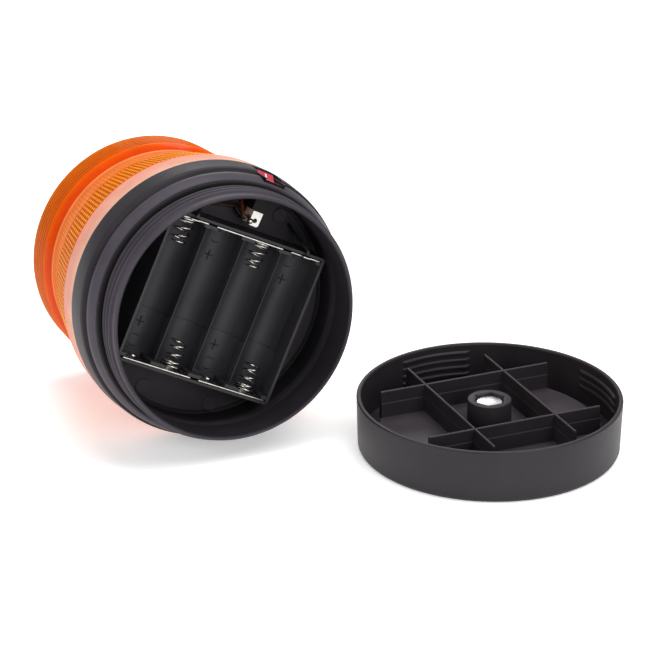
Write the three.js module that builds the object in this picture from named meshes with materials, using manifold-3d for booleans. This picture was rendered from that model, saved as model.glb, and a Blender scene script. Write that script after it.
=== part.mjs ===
// Battery-powered amber warning beacon, opened for fitting its batteries.
// Millimetres, +Z up. The row origin is the centre of the base cover's
// underside, on the floor. The beacon lies tipped on its lens rim and its
// housing rim beside the base cover, which stands with its open side up.
//
// Beacon axis coordinates: x' and y' across, s along the axis. s = 0 is the
// housing's open mouth and s falls towards the lens.

import * as THREE from 'three';
import Module from 'manifold-3d';

const wasm = await Module();
wasm.setup();

// ---------------------------------------------------------------- dimensions
const SEG = 64;                 // facets round the large circles

// pose of the beacon
const MOUTH_X = -94.5;          // mouth centre, from the base cover's axis
const MOUTH_Y = -9.7;
const AXIS_AZ = -67.2;          // degrees, heading of the mouth
// base cover
const COVER_R = 50.0;           // outer radius at the rim
const COVER_R_LOW = 49.4;       // outer radius at the floor
const COVER_H = 20.5;           // height over the rim
const COVER_BORE = 48.2;        // bore at the rim
const DISC_R = 41.3;            // raised inner disc
const DISC_Z = 8.4;             // its top
const CHANNEL_Z = 3.0;          // floor of the annular channel for the neck
const RIB_TOP = 19.0;           // tops of ribs and boss
const RIB_ANGLE = 23.0;
const RIB_A = 21.5;             // offset of the long pair of ribs
const RIB_C = 16.5;             // offset of the short pair of ribs
const BOSS_R = 8.2;
const BOSS_HEX = 10.4;          // hexagonal pocket across flats
const LEAD = 3.0;               // thread lead
const COVER_CREST = 47.35;      // crest radius of the cover's thread segments
// housing
const NECK_R = 46.9;            // neck outside the thread
const NECK_CREST = 47.9;        // thread crest
const NECK_BORE = 45.4;
const NECK_L = 14.5;            // mouth to shoulder
const SHOULDER_R = 49.3;
const DRUM_R = 52.3;            // front edge of the outer band
const DRUM_R_REAR = 52.75;      // rear edge of the outer band
const DRUM_REAR = -32.0;
const FLOOR_S = -29.7;          // partition, battery side
const FLOOR_T = 2.3;
// lens
const LENS_FRONT = -32.35;
const LENS_RIM_S = -100.0;      // far rim that rests on the floor
const LENS_RIM_R = 46.6;
const LENS_T = 2.4;
// battery holder, four AA cells side by side
const CELL_PITCH = 16.0;
const CELL_R = 7.5;             // trough radius
const CELL_S = -20.6;           // cell centre
const TRAY_W = 65.0;
const TRAY_L = 60.0;
const TRAY_TOP = -14.2;
const TRAY_LOW = -29.4;
const TRAY_ANGLE = -26.0;
const STRIP_Y = 28.2;           // inner face of the contact strips
const SPRING_L = 10.6;
// rocker switch
const SW_ANGLE = 62.0;
const SW_S = -22.4;
const LEAD_ANGLE = 34.9;        // where the battery lead goes through the partition
// magnet under the base cover
const POT_R = 31.5;
const POT_H = 6.3;

const D2R = Math.PI / 180;

// ------------------------------------------------------------------- helpers
function mani(geometry) {
  const g = geometry.index ? geometry.toNonIndexed() : geometry.clone();
  const p = g.attributes.position.array;
  const key = new Map();
  const verts = [];
  const tris = [];
  const id = (i) => {
    const x = p[i * 3], y = p[i * 3 + 1], z = p[i * 3 + 2];
    const k = `${Math.round(x * 1e4)},${Math.round(y * 1e4)},${Math.round(z * 1e4)}`;
    let n = key.get(k);
    if (n === undefined) { n = verts.length / 3; verts.push(x, y, z); key.set(k, n); }
    return n;
  };
  for (let t = 0; t < p.length / 9; t++) {
    const a = id(t * 3), b = id(t * 3 + 1), c = id(t * 3 + 2);
    if (a !== b && b !== c && a !== c) tris.push(a, b, c);
  }
  let vol = 0;
  for (let t = 0; t < tris.length; t += 3) {
    const [a, b, c] = [tris[t] * 3, tris[t + 1] * 3, tris[t + 2] * 3];
    vol += verts[a] * (verts[b + 1] * verts[c + 2] - verts[b + 2] * verts[c + 1])
      - verts[a + 1] * (verts[b] * verts[c + 2] - verts[b + 2] * verts[c])
      + verts[a + 2] * (verts[b] * verts[c + 1] - verts[b + 1] * verts[c]);
  }
  if (vol < 0) for (let t = 0; t < tris.length; t += 3) [tris[t + 1], tris[t + 2]] = [tris[t + 2], tris[t + 1]];
  return new wasm.Manifold(new wasm.Mesh({
    numProp: 3,
    vertProperties: new Float32Array(verts),
    triVerts: new Uint32Array(tris),
  }));
}

function add(...list) { return list.reduce((a, b) => a.add(b)); }
function cut(a, ...list) { return list.reduce((r, b) => r.subtract(b), a); }

function box(w, d, h, x = 0, y = 0, z = 0, rz = 0) {
  const g = new THREE.BoxGeometry(w, d, h);
  g.translate(x, y, z);
  if (rz) g.rotateZ(rz * D2R);
  return mani(g);
}

// cylinder from z0 to z1 about a vertical line at x, y
function cyl(r, z0, z1, x = 0, y = 0, seg = 32, r2 = r, turn = 0) {
  const g = new THREE.CylinderGeometry(r2, r, z1 - z0, seg);
  g.rotateX(Math.PI / 2);
  if (turn) g.rotateZ(turn);
  g.translate(x, y, (z0 + z1) / 2);
  return mani(g);
}

// cylinder lying along X or Y
function bar(r, len, axis, x, y, z, seg = 24) {
  const g = new THREE.CylinderGeometry(r, r, len, seg);
  if (axis === 'x') g.rotateZ(Math.PI / 2);
  g.translate(x, y, z);
  return mani(g);
}

// turned body: profile of [radius, height] points about Z
function turned(profile, seg = SEG) {
  const g = new THREE.LatheGeometry(profile.map(([r, z]) => new THREE.Vector2(r, z)), seg);
  g.rotateX(Math.PI / 2);
  // the lathe's Y has become Z
  return mani(g);
}
function ring(profile, seg = SEG) { return turned([...profile, profile[0]], seg); }

class Helix extends THREE.Curve {
  constructor(f) { super(); this.f = f; }
  getPoint(t, out = new THREE.Vector3()) { return out.set(...this.f(t)); }
}

function disc2d(r, n) {
  const s = new THREE.Shape();
  for (let i = 0; i < n; i++) {
    const a = (i + 0.5) * 2 * Math.PI / n;
    if (i) s.lineTo(r * Math.cos(a), r * Math.sin(a)); else s.moveTo(r * Math.cos(a), r * Math.sin(a));
  }
  s.closePath();
  return s;
}

// round bar swept along a curve
function sweep(f, steps, r, n = 6) {
  const g = new THREE.ExtrudeGeometry(disc2d(r, n), { steps, bevelEnabled: false, extrudePath: new Helix(f) });
  return mani(g);
}

function poly(points, h, z = 0) {
  const s = new THREE.Shape(points.map(([x, y]) => new THREE.Vector2(x, y)));
  const g = new THREE.ExtrudeGeometry(s, { depth: h, bevelEnabled: false, steps: 1 });
  g.translate(0, 0, z);
  return mani(g);
}

function spline(points) {
  const c = new THREE.CatmullRomCurve3(points.map((p) => new THREE.Vector3(...p)), false, 'centripetal');
  return (t) => c.getPoint(t).toArray();
}

// ---------------------------------------------------------- beacon transform
const tilt = Math.atan2(DRUM_R_REAR - LENS_RIM_R, DRUM_REAR - LENS_RIM_S);
const az = AXIS_AZ * D2R;
const axis = new THREE.Vector3(Math.cos(tilt) * Math.cos(az), Math.cos(tilt) * Math.sin(az), Math.sin(tilt));
const uDir = new THREE.Vector3(-Math.sin(az), Math.cos(az), 0);
const wDir = new THREE.Vector3().crossVectors(axis, uDir);
const mouthZ = DRUM_R_REAR * Math.cos(tilt) - DRUM_REAR * Math.sin(tilt) + 0.01;
const toWorld = new THREE.Matrix4().makeBasis(uDir, wDir, axis).setPosition(MOUTH_X, MOUTH_Y, mouthZ);
const trayTurn = new THREE.Matrix4().makeRotationZ(TRAY_ANGLE * D2R);
const trayWorld = toWorld.clone().multiply(trayTurn);
const swTurn = new THREE.Matrix4().makeRotationZ(SW_ANGLE * D2R);
const swWorld = toWorld.clone().multiply(swTurn);
const ID = new THREE.Matrix4();

const root = new THREE.Group();
root.name = 'warning_beacon';

function put(name, solid, matrix, color, opts = {}) {
  const m = solid.getMesh();
  const g = new THREE.BufferGeometry();
  g.setAttribute('position', new THREE.BufferAttribute(new Float32Array(m.vertProperties), 3));
  g.setIndex(new THREE.BufferAttribute(new Uint32Array(m.triVerts), 1));
  const h = g.toNonIndexed();
  h.applyMatrix4(matrix);
  h.computeVertexNormals();
  const mesh = new THREE.Mesh(h, new THREE.MeshStandardMaterial({ color, roughness: 0.5, metalness: 0, ...opts }));
  mesh.name = name;
  root.add(mesh);
  return mesh;
}

const BLACK = 0x2b2a2d;
const NICKEL = { metalness: 1, roughness: 0.25 };

// ------------------------------------------------------------------- housing
{
  const out = [
    [NECK_BORE, 0], [NECK_R - 0.5, 0], [NECK_R, -0.5], [NECK_R, -NECK_L],
    [SHOULDER_R - 0.3, -NECK_L], [SHOULDER_R, -NECK_L - 0.4],
    [50.3, -16.6], [50.85, -18.0], [51.05, -19.6],
    [50.3, -20.3], [50.3, -21.4],
    [DRUM_R - 0.5, -22.1], [DRUM_R, -22.8],
    [DRUM_R_REAR, DRUM_REAR + 0.01],
    [DRUM_R_REAR - 0.25, DRUM_REAR],
    [46.2, DRUM_REAR], [46.2, FLOOR_S - FLOOR_T], [0, FLOOR_S - FLOOR_T],
  ];
  // solid outer shape, then hollowed from the mouth down to the partition
  let h = turned([[0, 0], ...out.slice(1)]);
  h = cut(h, turned([[0, 1], [NECK_BORE, 1], [NECK_BORE, -13.8], [46.0, -15.0], [46.0, FLOOR_S], [0, FLOOR_S]]));
  // external thread on the neck, three and a half turns
  h = add(h, sweep((t) => {
    const a = 2 * Math.PI * (3.6 * t) - 1.904;
    const k = Math.min(1, Math.min(t, 1 - t) * 14);
    const r = NECK_R - 0.95 + 0.75 * k;
    return [r * Math.cos(a), r * Math.sin(a), -12.6 + LEAD * 3.6 * t];
  }, 138, 1.2, 6).intersect(ring([[NECK_R - 0.7, -0.4], [NECK_CREST, -0.9], [NECK_CREST, -13.6], [NECK_R - 0.7, -13.9]], SEG)));
  // stepped floor: a raised disc, and three moulded boss tops beside the tray
  h = add(h, cyl(43.2, FLOOR_S - 0.5, FLOOR_S + 0.15, 0, 0, 64));
  const tr = TRAY_ANGLE * D2R;
  for (const [x, y] of [[15.1, 38.2], [-11.5, -39.5], [17.1, -38.7]]) {
    const bx = x * Math.cos(tr) - y * Math.sin(tr), by = x * Math.sin(tr) + y * Math.cos(tr);
    h = add(h, cyl(3.0, FLOOR_S - 0.5, FLOOR_S + 0.5, bx, by, 24));
  }
  // opening for the rocker switch
  const sw = mani(new THREE.BoxGeometry(18, 8.8, 13.4).translate(46.5, 0, SW_S).rotateZ(SW_ANGLE * D2R));
  h = cut(h, sw);
  // flat seat for the switch bezel
  h = cut(h, mani(new THREE.BoxGeometry(6, 10.6, 14.4).translate(50.6 + 3, 0, SW_S).rotateZ(SW_ANGLE * D2R)));
  // posts behind the partition for the LED board, and a hole for the leads
  for (let i = 0; i < 3; i++) {
    const a = (30 + 120 * i) * D2R;
    const x = 30 * Math.cos(a), y = 30 * Math.sin(a);
    h = add(h, cyl(3.2, -38.0, -31.5, x, y, 20));
    h = cut(h, cyl(1.15, -39, -32.6, x, y, 16));
  }
  const la = (SW_ANGLE + 9) * D2R;
  h = cut(h, cyl(1.9, -33, -28, 41.2 * Math.cos(la), 41.2 * Math.sin(la), 16));
  const lb = LEAD_ANGLE * D2R;
  h = cut(h, cyl(1.6, -33, -28, 41.2 * Math.cos(lb), 41.2 * Math.sin(lb), 16));
  put('housing', h, toWorld, BLACK, { roughness: 0.55 });
}
put('neck_seal_ring', ring([[NECK_R + 0.25, -NECK_L + 0.05], [SHOULDER_R - 0.75, -NECK_L + 0.05],
  [SHOULDER_R - 0.45, -NECK_L + 0.6], [SHOULDER_R - 0.75, -NECK_L + 1.15], [NECK_R + 0.25, -NECK_L + 1.15]]),
  toWorld, 0x111112, { roughness: 0.9 });

// ---------------------------------------------------------------------- lens
{
  const lens = turned([
    [0, -103.4], [14, -103.15], [28, -102.5], [40, -101.55], [44.6, -101.1], [46.0, -100.7], [LENS_RIM_R, LENS_RIM_S],
    [47.0, -88.6], [46.75, -86.4], [45.9, -83.2], [45.15, -81.0], [45.0, -80.0], [45.3, -78.4], [48.3, -63.5], [51.7, -46.0],
    [52.1, -43.4], [52.4, -34.4], [52.45, LENS_FRONT],
    [50.4, LENS_FRONT], [50.3, -35.0], [49.6, -44.4], [46.1, -63.5], [43.2, -78.6], [42.9, -80.3], [43.4, -83.4],
    [44.4, -87.2], [44.6, -89.0], [44.0, -98.4], [42.0, -98.9], [28, -100.1], [14, -100.75], [0, -101.0],
  ]);
  put('lens', lens, toWorld, 0xf08a14, { roughness: 0.15 });
}
// lens seat: spigot ring that the lens is bonded to, with its cord seal
put('lens_gasket', ring([[46.4, -32.3], [50.1, -32.3], [50.1, -34.2], [46.4, -34.2]]), toWorld, 0x1a1a1c, { roughness: 0.9 });

// ------------------------------------------------------------ battery holder
{
  let t = box(TRAY_W, TRAY_L, TRAY_TOP - TRAY_LOW, 0, 0, (TRAY_TOP + TRAY_LOW) / 2);
  const inner = STRIP_Y - 1.4;            // half length of the troughs
  for (let i = 0; i < 4; i++) {
    const x = (i - 1.5) * CELL_PITCH;
    t = cut(t, bar(CELL_R, inner * 2, 'y', x, 0, CELL_S, 24));
    t = cut(t, box(CELL_R * 2 - 0.02, inner * 2, 12, x, 0, CELL_S + 6));
    // opening in each end wall's inner lip in front of the contact
    t = cut(t, box(10.4, STRIP_Y * 2 - 0.02, 15, x, 0, CELL_S + 2.2));
  }
  // dividers end below the tray's top
  t = cut(t, box(4 * CELL_PITCH - 1.2, inner * 2, 8, 0, 0, -18.0 + 4));
  // slots for the contact strips
  for (const [cx, w, side] of STRIPS()) t = cut(t, box(w + 0.6, 1.0, 16, cx, side * (STRIP_Y + 0.2), TRAY_TOP - 11.2 + 8));
  // raised polarity pads in the troughs' ends are part of the Blender detail
  put('battery_holder', t, trayWorld, 0x39383b, { roughness: 0.45 });
}

// contact strips: centre, width, side (+1 is the end nearer the switch)
function STRIPS() {
  return [
    [-1.5 * CELL_PITCH, 12.4, 1],
    [0, 28.4, 1],
    [1.5 * CELL_PITCH, 12.4, 1],
    [-CELL_PITCH, 28.4, -1],
    [CELL_PITCH, 28.4, -1],
  ];
}
{
  const names = ['contact_terminal_1', 'contact_strip_2_3', 'contact_terminal_4', 'contact_strip_1_2', 'contact_strip_3_4'];
  const buttons = { contact_strip_2_3: [-8], contact_terminal_4: [24], contact_strip_1_2: [-24], contact_strip_3_4: [8] };
  STRIPS().forEach(([cx, w, side], i) => {
    const top = -14.0, low = TRAY_TOP - 10.9;
    let p = box(w, 0.4, top - low, cx, side * (STRIP_Y + 0.2), (top + low) / 2);
    for (const bx of buttons[names[i]] || []) {
      const g = new THREE.CylinderGeometry(1.6, 2.6, 1.1, 20);
      if (side > 0) g.rotateX(Math.PI);       // narrow end points to the cell
      g.translate(0, side > 0 ? -0.55 : 0.55, 0);
      g.translate(bx, side * STRIP_Y + side * 0.1, CELL_S);
      p = add(p, mani(g));
    }
    if (names[i].startsWith('contact_terminal')) p = add(p, box(3.0, 0.4, 3.0, cx, side * (STRIP_Y + 0.2), top + 0.6));
    put(names[i], p, trayWorld, 0xc9ccd0, NICKEL);
  });
}

// -------------------------------------------------------------- coil springs
{
  const list = [['contact_spring_1', -24, 1], ['contact_spring_2', -8, -1], ['contact_spring_3', 8, 1], ['contact_spring_4', 24, -1]];
  for (const [name, x, side] of list) {
    const turns = 5.0;
    const s = sweep((t) => {
      const a = 2 * Math.PI * turns * t;
      const lead = t < 0.14 ? t * t / 0.28 : t - 0.07;
      const r = 4.4 - 1.9 * t;
      return [x + r * Math.cos(a), side * (STRIP_Y - 0.75 - (SPRING_L - 1.1) * lead / 0.93), CELL_S + r * Math.sin(a) * side];
    }, 60, 0.38, 5);
    put(name, s, trayWorld, 0xd4d6d9, NICKEL);
  }
}

// ------------------------------------------------------------- rocker switch
{
  // local: x outwards, y round the drum, z along the axis; SW_S is the centre
  let b = box(12.6, 8.4, 12.8, 44.7, 0, SW_S);
  b = add(b, box(0.6, 10.0, 13.8, 51.05, 0, SW_S));
  b = cut(b, box(6.4, 7.6, 11.8, 50.0, 0, SW_S));
  put('switch_body', b, swWorld, 0x161617, { roughness: 0.4 });
  // rocker: a shallow V seen from the side, pivot at its middle
  const V = [[-5.4, 0.1], [-5.4, 1.95], [0, 0.5], [5.4, 1.95], [5.4, 0.1], [0, -0.6]];
  const s = new THREE.Shape(V.map(([z, x]) => new THREE.Vector2(x, z)));
  const g = new THREE.ExtrudeGeometry(s, { depth: 7.0, bevelEnabled: false, steps: 1 });
  g.rotateX(Math.PI / 2);                  // shape (x, z), depth along -y
  // rests with its front end pressed in, on a pivot at x = 49.4
  g.translate(0, 3.5, 0);
  g.rotateY(-8 * D2R);
  g.translate(49.4, 0, SW_S);
  put('switch_rocker', mani(g), swWorld, 0xc41f30, { roughness: 0.3 });
  for (const [name, dz] of [['switch_terminal_front', 3.5], ['switch_terminal_rear', -3.5]]) {
    let t = box(5.7, 4.2, 0.7, 35.25, 0, SW_S + dz);
    t = cut(t, cyl(0.8, SW_S + dz - 1, SW_S + dz + 1, 34.6, 0, 16));
    put(name, t, swWorld, 0xd4d6d9, NICKEL);
  }
}

// --------------------------------------------------------------------- leads
{
  const c = Math.cos(SW_ANGLE * D2R), s = Math.sin(SW_ANGLE * D2R);
  const P = (x, y, z) => [x * c - y * s, x * s + y * c, z];
  const hole = (SW_ANGLE + 9) * D2R;
  const hx = 41.2 * Math.cos(hole), hy = 41.2 * Math.sin(hole);
  // from the front terminal down through the partition to the LED board
  const tc = Math.cos(TRAY_ANGLE * D2R), ts = Math.sin(TRAY_ANGLE * D2R);
  const T = (x, y, z) => [x * tc - y * ts, x * ts + y * tc, z];
  put('switch_lead_red', sweep(spline([P(34.2, 3.1, SW_S + 2.6), P(35.5, 4.8, SW_S + 2.0), [hx, hy, -24.5], [hx, hy, -29],
    [hx, hy, -33], [hx * 0.9, hy * 0.9, -36.3], [hx * 0.78, hy * 0.78, -37.6]]), 30, 0.65, 6), toWorld, 0xa1331c, { roughness: 0.5 });
  // from the rear terminal round to the first contact terminal
  put('switch_lead_brown', sweep(spline([P(34.2, 3.1, SW_S - 4.4), P(35.6, 5.2, SW_S - 4.2), T(-4, 36.5, -27.2), T(-15, 35.0, -24.0), T(-21.5, 33.0, -18.0), T(-23.6, 30.9, -13.0), T(-24.0, 29.4, -12.7)]), 36, 0.65, 6), toWorld, 0x5a2a18, { roughness: 0.5 });
  // from the fourth contact terminal through the partition to the LED board
  const kx = 41.2 * Math.cos(LEAD_ANGLE * D2R), ky = 41.2 * Math.sin(LEAD_ANGLE * D2R);
  put('battery_lead_black', sweep(spline([T(24.0, 29.4, -12.7), T(23.6, 31.2, -13.4), T(22.4, 32.6, -18.0), T(21.0, 34.6, -25.0), [kx, ky, -29.0],
    [kx, ky, -33], [kx * 0.9, ky * 0.9, -36.3], [kx * 0.8, ky * 0.8, -37.6]]), 34, 0.65, 6), toWorld, 0x1b1b1d, { roughness: 0.5 });
}

// ----------------------------------------------------------------- LED board
{
  let b = cyl(36.5, -39.9, -38.3, 0, 0, 48);
  for (let i = 0; i < 3; i++) {
    const a = (30 + 120 * i) * D2R;
    b = cut(b, cyl(1.5, -41, -37, 30 * Math.cos(a), 30 * Math.sin(a), 16));
  }
  put('led_board', b, toWorld, 0x2f6b3a, { roughness: 0.5 });
  for (let i = 0; i < 3; i++) {
    const a = (30 + 120 * i) * D2R, x = 30 * Math.cos(a), y = 30 * Math.sin(a);
    let s = add(cyl(1.0, -41.0, -34.0, x, y, 16), cyl(2.5, -41.6, -40.1, x, y, 20, 2.5));
    s = cut(s, box(3.4, 0.7, 0.8, x, y, -41.6), box(0.7, 3.4, 0.8, x, y, -41.6));
    put(`board_screw_${i + 1}`, s, toWorld, 0xb9bcc0, NICKEL);
  }
  for (let i = 0; i < 6; i++) {
    const a = (60 * i) * D2R, x = 19 * Math.cos(a), y = 19 * Math.sin(a);
    const prof = [[0, -40.1], [2.9, -40.1], [2.9, -41.2], [2.5, -41.2], [2.5, -46.6], [1.7, -48.2], [0, -48.8]];
    const g = new THREE.LatheGeometry(prof.map(([r, z]) => new THREE.Vector2(r, z)), 14);
    g.rotateX(Math.PI / 2);
    g.translate(x, y, 0);
    put(`led_${i + 1}`, mani(g), toWorld, 0xf0a830, { roughness: 0.2 });
  }
  put('flasher_chip', box(9.6, 6.4, 3.3, 0, 4.5, -41.75), toWorld, 0x151516, { roughness: 0.5 });
  put('timing_capacitor', add(cyl(3.1, -47.4, -40.1, 0, -6.5, 20)), toWorld, 0x23355f, { roughness: 0.4 });
}

// ---------------------------------------------------------------- base cover
{
  let b = turned([
    [0, 0], [COVER_R_LOW - 1.5, 0], [COVER_R_LOW - 0.5, 0.4], [COVER_R_LOW, 1.4],
    [COVER_R, COVER_H - 1.0], [COVER_R - 0.25, COVER_H - 0.3], [COVER_R - 0.8, COVER_H],
    [0, COVER_H],
  ], 80);
  // bore, channel for the neck, raised disc
  b = cut(b, turned([[0, COVER_H + 1], [COVER_BORE, COVER_H + 1], [COVER_BORE, CHANNEL_Z + 0.6], [COVER_BORE - 0.6, CHANNEL_Z],
    [DISC_R + 0.4, CHANNEL_Z], [DISC_R, CHANNEL_Z + 0.6], [DISC_R, DISC_Z - 0.4], [DISC_R - 0.4, DISC_Z], [0, DISC_Z]], 80));
  // ribs, thin above and thicker below
  const ribs = [];
  for (const [ang, off] of [[RIB_ANGLE, RIB_A], [RIB_ANGLE, -RIB_A], [RIB_ANGLE + 90, RIB_C], [RIB_ANGLE + 90, -RIB_C]]) {
    const half = Math.sqrt(41.2 * 41.2 - off * off);
    for (const [t, z1] of [[1.1, RIB_TOP], [1.9, RIB_TOP - 4.7]]) {
      const g = new THREE.BoxGeometry(half * 2, t, z1 - DISC_Z + 0.5);
      g.translate(0, off, (z1 + DISC_Z - 0.5) / 2);
      g.rotateZ(ang * D2R);
      ribs.push(mani(g));
    }
  }
  b = add(b, ...ribs);
  // boss with its hexagonal pocket
  b = add(b, cyl(BOSS_R + 0.25, DISC_Z - 0.5, RIB_TOP - 0.4, 0, 0, 40, BOSS_R), cyl(BOSS_R, RIB_TOP - 0.4, RIB_TOP, 0, 0, 40, BOSS_R - 0.3));
  const hexR = BOSS_HEX / 2 / Math.cos(Math.PI / 6);
  b = cut(b, cyl(hexR, RIB_TOP - 6.4, RIB_TOP + 1, 0, 0, 6, hexR, RIB_ANGLE * D2R));
  b = cut(b, cyl(3.3, -1, RIB_TOP, 0, 0, 24));
  // recess for the pot magnet
  b = cut(b, cyl(POT_R + 0.3, -1, POT_H + 0.25, 0, 0, 64));
  // interrupted internal thread: four groups of short ridges
  const ridges = sweep((t) => {
    const a = 2 * Math.PI * (3.4 * t) + 0.6;
    return [(COVER_BORE + 0.15) * Math.cos(a), (COVER_BORE + 0.15) * Math.sin(a), 7.9 + LEAD * 3.4 * t];
  }, 120, 0.9, 6);
  const keep = ring([[COVER_CREST, 6], [COVER_BORE + 0.9, 6], [COVER_BORE + 0.9, 19.4], [COVER_CREST, 19.4]], 80);
  let groups = null;
  for (let i = 0; i < 4; i++) {
    const a = (25 + 90 * i) * D2R, w = 19 * D2R, R = 60;
    const sector = poly([[0, 0], [R * Math.cos(a - w), R * Math.sin(a - w)], [R * Math.cos(a) * 1.06, R * Math.sin(a) * 1.06], [R * Math.cos(a + w), R * Math.sin(a + w)]], 30, -2);
    const part = ridges.intersect(keep).intersect(sector);
    groups = groups ? groups.add(part) : part;
  }
  b = add(b, groups);
  put('base_cover', b, ID, 0x58565a, { roughness: 0.6 });
}
{
  // hexagon bolt in the boss pocket, its end held in the pot's threaded centre
  const flat = 10.0, hexR = flat / 2 / Math.cos(Math.PI / 6);
  let head = cyl(hexR, RIB_TOP - 6.2, RIB_TOP - 1.0, 0, 0, 6, hexR, RIB_ANGLE * D2R);
  head = head.intersect(turned([[0, RIB_TOP - 6.3], [6.2, RIB_TOP - 6.3], [6.2, RIB_TOP - 1.9], [4.7, RIB_TOP - 1.0], [0, RIB_TOP - 1.0]], 36));
  const bolt = add(head, cyl(3.0, 2.2, RIB_TOP - 6.0, 0, 0, 24));
  put('magnet_bolt', bolt, ID, 0xd6d9dc, NICKEL);
}
{
  // steel cup with a raised centre, bored blind for the bolt
  let p = turned([[0, 0], [7.5, 0], [7.5, 4.1], [POT_R - 2.4, 4.1], [POT_R - 2.4, 0], [POT_R - 0.3, 0], [POT_R, 0.3], [POT_R, POT_H], [0, POT_H]], 64);
  p = cut(p, cyl(3.05, 1.9, POT_H + 1, 0, 0, 24));
  put('magnet_cup', p, ID, 0xb4b7ba, NICKEL);
  put('magnet_ring', ring([[7.8, 0.25], [POT_R - 2.7, 0.25], [POT_R - 2.7, 3.85], [7.8, 3.85]], 64), ID, 0x2a2a2c, { roughness: 0.7 });
}

export default root;
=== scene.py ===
import math
import random

import bmesh
import bpy
from mathutils import Matrix, Vector


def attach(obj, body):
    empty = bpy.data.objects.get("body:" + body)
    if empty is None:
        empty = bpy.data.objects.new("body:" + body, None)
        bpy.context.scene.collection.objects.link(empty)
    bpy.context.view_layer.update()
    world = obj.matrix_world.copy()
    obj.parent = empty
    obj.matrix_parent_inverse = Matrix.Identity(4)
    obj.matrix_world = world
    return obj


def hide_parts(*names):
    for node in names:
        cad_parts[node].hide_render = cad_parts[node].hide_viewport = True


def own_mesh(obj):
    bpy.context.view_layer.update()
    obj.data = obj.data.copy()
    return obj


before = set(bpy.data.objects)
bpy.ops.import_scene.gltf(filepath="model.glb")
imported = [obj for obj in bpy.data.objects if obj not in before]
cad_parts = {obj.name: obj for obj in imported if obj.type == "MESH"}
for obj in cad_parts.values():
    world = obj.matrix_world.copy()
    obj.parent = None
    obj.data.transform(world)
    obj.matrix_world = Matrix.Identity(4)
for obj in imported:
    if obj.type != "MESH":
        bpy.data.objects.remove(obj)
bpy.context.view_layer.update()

random.seed(7)
MM = 0.001
R = math.radians

# ------------------------------------------------------------------ the frame
TILT = math.atan2(52.75 - 46.6, -32.0 + 100.0)
AZ = R(-67.2)
AX = Vector((math.cos(TILT) * math.cos(AZ), math.cos(TILT) * math.sin(AZ), math.sin(TILT)))
UX = Vector((-math.sin(AZ), math.cos(AZ), 0.0))
WX = AX.cross(UX)
MZ = 52.75 * math.cos(TILT) + 32.0 * math.sin(TILT) + 0.01
BEACON = Matrix(((UX.x, WX.x, AX.x, -94.5), (UX.y, WX.y, AX.y, -9.7), (UX.z, WX.z, AX.z, MZ), (0, 0, 0, 1)))
TRAY = BEACON @ Matrix.Rotation(R(-26.0), 4, "Z")
SWITCH = BEACON @ Matrix.Rotation(R(62.0), 4, "Z")
COVER = Matrix.Identity(4)
SW_S = -22.4


# ------------------------------------------------------------------- helpers
def make(name, verts, faces, M, body, mats, crease=32, uvs=None, face_mats=None, bevel=0.0, seg=2, stands_for=(), slot=None):
    me = bpy.data.meshes.new(name)
    me.from_pydata([tuple((M @ Vector(v)) * MM) for v in verts], [], faces)
    if uvs is not None:
        layer = me.uv_layers.new(name="UVMap")
        for poly in me.polygons:
            us = [uvs[me.loops[i].vertex_index] for i in poly.loop_indices]
            wrap = max(u[0] for u in us) - min(u[0] for u in us) > 0.5
            for i, u in zip(poly.loop_indices, us):
                layer.data[i].uv = (u[0] + 1.0 if wrap and u[0] < 0.5 else u[0], u[1])
    if not isinstance(mats, (list, tuple)):
        mats = [mats]
    for m in mats:
        me.materials.append(m)
    if face_mats is not None:
        me.polygons.foreach_set("material_index", face_mats)
    bm = bmesh.new()
    bm.from_mesh(me)
    bmesh.ops.remove_doubles(bm, verts=bm.verts, dist=1e-7)
    bmesh.ops.recalc_face_normals(bm, faces=bm.faces)
    lim = R(crease)
    for e in bm.edges:
        e.smooth = not (len(e.link_faces) != 2 or e.calc_face_angle(0.0) > lim)
    for f in bm.faces:
        f.smooth = True
    bm.to_mesh(me)
    bm.free()
    me.update()
    o = bpy.data.objects.new(name, me)
    bpy.context.scene.collection.objects.link(o)
    if bevel:
        b = o.modifiers.new("bevel", "BEVEL")
        b.width = bevel * MM
        b.segments = seg
        b.limit_method = "ANGLE"
        b.angle_limit = R(35)
        b.harden_normals = True
    if body:
        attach(o, body)
        if stands_for:
            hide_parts(*([stands_for] if isinstance(stands_for, str) else stands_for))
    return o


def arc_points(pts):
    """Polyline of (r, z, fillet radius) closed on itself -> points with rounded corners."""
    out = []
    n = len(pts)
    for i in range(n):
        p0, p1, p2 = (Vector(pts[(i + k) % n][:2]) for k in (-1, 0, 1))
        rad = pts[i][2] if len(pts[i]) > 2 else 0.0
        a, b = (p0 - p1), (p2 - p1)
        if rad <= 0 or a.length < 1e-6 or b.length < 1e-6:
            out.append((p1.x, p1.y))
            continue
        a.normalize(), b.normalize()
        ang = a.angle(b)
        if ang > R(176):
            out.append((p1.x, p1.y))
            continue
        d = min(rad / math.tan(ang / 2), 0.45 * (p0 - p1).length, 0.45 * (p2 - p1).length)
        rad = d * math.tan(ang / 2)
        s, e = p1 + a * d, p1 + b * d
        c = p1 + (a + b).normalized() * (rad / math.sin(ang / 2))
        k = 4
        a0 = math.atan2(s.y - c.y, s.x - c.x)
        a1 = math.atan2(e.y - c.y, e.x - c.x)
        while a1 - a0 > math.pi:
            a1 -= 2 * math.pi
        while a1 - a0 < -math.pi:
            a1 += 2 * math.pi
        for j in range(k + 1):
            t = a0 + (a1 - a0) * j / k
            out.append((c.x + rad * math.cos(t), c.y + rad * math.sin(t)))
    return out


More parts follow.
